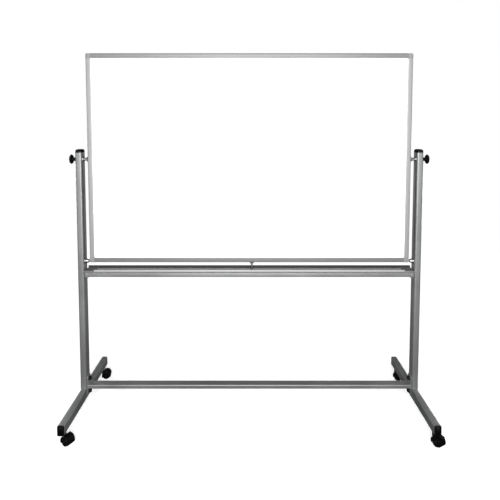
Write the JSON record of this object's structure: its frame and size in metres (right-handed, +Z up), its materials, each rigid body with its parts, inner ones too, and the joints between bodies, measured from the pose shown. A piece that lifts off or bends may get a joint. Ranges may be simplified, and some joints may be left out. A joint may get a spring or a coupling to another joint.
{
  "type": "rolling reversible whiteboard",
  "caption": "Double-sided dry-wipe board that turns over between two posts of a wheeled stand, with clamp knobs, side catches, a sprung rest, a pen tray and swivel casters with foot brakes.",
  "frame": {"origin": "on the floor, under the middle of the stand", "axes": "+X along the board to the right as seen from the front, +Y from the front to the back, +Z up; the board's turning axis is parallel to X"},
  "size_m": [1.692, 0.5862, 1.7065],
  "materials": {
    "silver_paint": "silver-grey powder coat, satin",
    "silver_aluminium": "satin anodised",
    "white_enamel": "glossy white dry-wipe coating on steel sheet",
    "fibre_core": "pressed fibreboard",
    "grey_plastic": "moulded, fine grain",
    "black_plastic": "moulded, semi-gloss",
    "black_tread": "nylon wheel, dull tread",
    "dark_rubber": "extruded, matte",
    "bright_steel": "bright plated steel",
    "spring_steel": "drawn spring wire"
  },
  "bodies": {
    "stand": {"post_left": "silver_paint", "post_cap_left": "black_plastic", "foot_left": "silver_paint", "foot_cap_front_left": "black_plastic", "foot_cap_rear_left": "black_plastic", "post_bolt_left": "black_plastic", "foot_bolt_left": "black_plastic", "tray_end_cap_left": "grey_plastic", "pivot_bushing_left": "bright_steel", "side_catch_housing_left": "bright_steel", "side_catch_spring_left": "spring_steel", "post_right": "silver_paint", "post_cap_right": "black_plastic", "foot_right": "silver_paint", "foot_cap_front_right": "black_plastic", "foot_cap_rear_right": "black_plastic", "post_bolt_right": "black_plastic", "foot_bolt_right": "black_plastic", "tray_end_cap_right": "grey_plastic", "pivot_bushing_right": "bright_steel", "side_catch_housing_right": "bright_steel", "side_catch_spring_right": "spring_steel", "lower_crossbar": "silver_paint", "upper_crossbar": "silver_paint", "pen_tray": "silver_aluminium", "tray_front_lip": "silver_aluminium", "tray_buffer_strip": "dark_rubber", "centre_rest_bushing": "grey_plastic", "caster_front_left_stem": "bright_steel", "caster_front_right_stem": "bright_steel", "caster_rear_left_stem": "bright_steel", "caster_rear_right_stem": "bright_steel"},
    "board": {"board_core": "fibre_core", "writing_sheet_front": "white_enamel", "writing_sheet_back": "white_enamel", "frame_rail_top": "silver_aluminium", "frame_rail_bottom": "silver_aluminium", "frame_rail_left": "silver_aluminium", "frame_rail_right": "silver_aluminium", "frame_corner_top_left": "grey_plastic", "frame_corner_top_right": "grey_plastic", "frame_corner_bottom_left": "grey_plastic", "frame_corner_bottom_right": "grey_plastic", "pivot_shaft_left": "bright_steel", "pivot_shaft_right": "bright_steel"},
    "knob_left": {"clamp_knob_left": "black_plastic"},
    "knob_right": {"clamp_knob_right": "black_plastic"},
    "side_catch_left": {"side_catch_nose_left": "bright_steel"},
    "side_catch_right": {"side_catch_nose_right": "bright_steel"},
    "centre_rest": {"centre_rest": "bright_steel"},
    "caster_front_left": {"caster_front_left_hood": "black_plastic"},
    "wheels_front_left": {"caster_front_left_wheels": "black_tread"},
    "brake_front_left": {"caster_front_left_brake": "black_plastic"},
    "caster_front_right": {"caster_front_right_hood": "black_plastic"},
    "wheels_front_right": {"caster_front_right_wheels": "black_tread"},
    "brake_front_right": {"caster_front_right_brake": "black_plastic"},
    "caster_rear_left": {"caster_rear_left_hood": "black_plastic"},
    "wheels_rear_left": {"caster_rear_left_wheels": "black_tread"},
    "caster_rear_right": {"caster_rear_right_hood": "black_plastic"},
    "wheels_rear_right": {"caster_rear_right_wheels": "black_tread"}
  },
  "joints": [
    {"name": "board_flip", "type": "hinge", "parent": "stand", "child": "board", "pos_m": [0, 0, 1.213], "axis": [1, 0, 0], "continuous": true},
    {"name": "knob_left_turn", "type": "hinge", "parent": "board", "child": "knob_left", "pos_m": [-0.836, 0, 1.213], "axis": [-1, 0, 0], "range_deg": [0, 360]},
    {"name": "knob_right_turn", "type": "hinge", "parent": "board", "child": "knob_right", "pos_m": [0.836, 0, 1.213], "axis": [1, 0, 0], "range_deg": [0, 360]},
    {"name": "side_catch_left_push", "type": "slide", "parent": "stand", "child": "side_catch_left", "axis": [-1, 0, 0], "range_m": [0, 0.006], "stiffness_N_per_m": 400, "springref_m": -0.01, "deforming": ["side_catch_spring_left"]},
    {"name": "side_catch_right_push", "type": "slide", "parent": "stand", "child": "side_catch_right", "axis": [1, 0, 0], "range_m": [0, 0.006], "stiffness_N_per_m": 400, "springref_m": -0.01, "deforming": ["side_catch_spring_right"]},
    {"name": "centre_rest_push", "type": "slide", "parent": "stand", "child": "centre_rest", "axis": [0, 0, 1], "range_m": [-0.005, 0], "stiffness_N_per_m": 600, "springref_m": 0.01},
    {"name": "caster_front_left_swivel", "type": "hinge", "parent": "stand", "child": "caster_front_left", "pos_m": [-0.8, -0.248, 0.045], "axis": [0, 0, 1], "continuous": true},
    {"name": "caster_front_left_roll", "type": "hinge", "parent": "caster_front_left", "child": "wheels_front_left", "pos_m": [-0.78207, -0.25794, 0.02], "axis": [0.4848, 0.8746, 0], "continuous": true},
    {"name": "caster_front_left_brake_press", "type": "hinge", "parent": "caster_front_left", "child": "brake_front_left", "pos_m": [-0.78338, -0.25721, 0.046], "axis": [0.4848, 0.8746, 0], "range_deg": [0, 10]},
    {"name": "caster_front_right_swivel", "type": "hinge", "parent": "stand", "child": "caster_front_right", "pos_m": [0.8, -0.248, 0.045], "axis": [0, 0, 1], "continuous": true},
    {"name": "caster_front_right_roll", "type": "hinge", "parent": "caster_front_right", "child": "wheels_front_right", "pos_m": [0.80962, -0.2661, 0.02], "axis": [0.8829, 0.4695, 0], "continuous": true},
    {"name": "caster_front_right_brake_press", "type": "hinge", "parent": "caster_front_right", "child": "brake_front_right", "pos_m": [0.80892, -0.26478, 0.046], "axis": [0.8829, 0.4695, 0], "range_deg": [0, 10]},
    {"name": "caster_rear_left_swivel", "type": "hinge", "parent": "stand", "child": "caster_rear_left", "pos_m": [-0.8, 0.248, 0.045], "axis": [0, 0, 1], "continuous": true},
    {"name": "caster_rear_left_roll", "type": "hinge", "parent": "caster_rear_left", "child": "wheels_rear_left", "pos_m": [-0.77988, 0.25191, 0.02], "axis": [-0.1908, 0.9816, 0], "continuous": true},
    {"name": "caster_rear_right_swivel", "type": "hinge", "parent": "stand", "child": "caster_rear_right", "pos_m": [0.8, 0.248, 0.045], "axis": [0, 0, 1], "continuous": true},
    {"name": "caster_rear_right_roll", "type": "hinge", "parent": "caster_rear_right", "child": "wheels_rear_right", "pos_m": [0.80962, 0.2299, 0.02], "axis": [0.8829, 0.4695, 0], "continuous": true}
  ]
}
